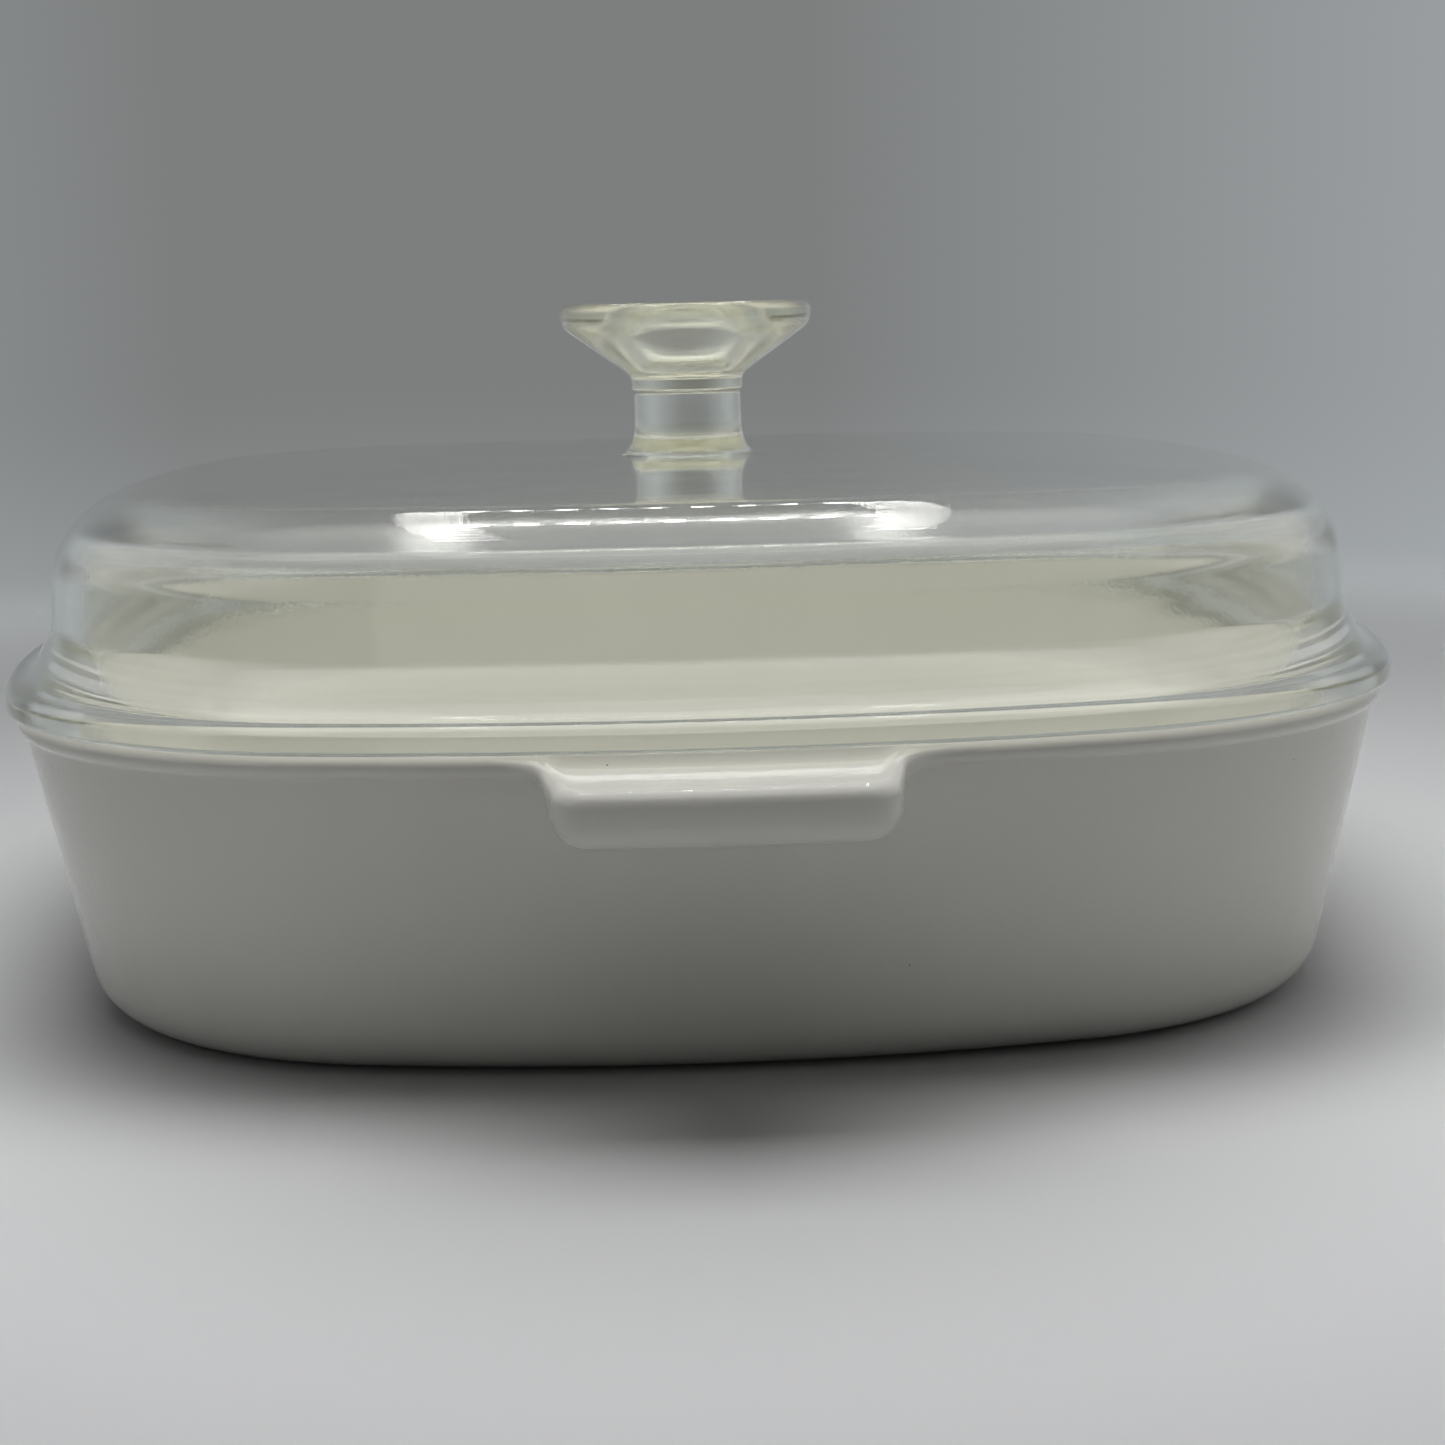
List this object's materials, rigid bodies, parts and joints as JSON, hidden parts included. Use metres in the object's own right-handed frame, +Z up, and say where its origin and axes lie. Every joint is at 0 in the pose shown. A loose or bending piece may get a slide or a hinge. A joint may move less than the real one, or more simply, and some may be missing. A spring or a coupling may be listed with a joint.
{
  "type": "covered casserole",
  "caption": "Square covered casserole: a white glass-ceramic baking dish with tab handles and a domed clear glass lid with a flared knob that lifts straight off.",
  "frame": {"origin": "middle of the dish's flat foot, on the surface it stands on", "axes": "+Z up, along the way the lid lifts; -Y towards the front tab handle; +X to the right seen from the front"},
  "size_m": [0.258, 0.294, 0.1225],
  "materials": {
    "white_glass_ceramic": "gloss",
    "clear_lid_glass": "polished",
    "clear_knob_glass": "polished"
  },
  "bodies": {
    "dish": {"dish": "white_glass_ceramic"},
    "lid": {"lid": "clear_lid_glass", "lid_knob": "clear_knob_glass"}
  },
  "joints": [
    {"name": "lid_lift", "type": "slide", "parent": "dish", "child": "lid", "axis": [0, 0, 1], "range_m": [0, 0.15]}
  ]
}
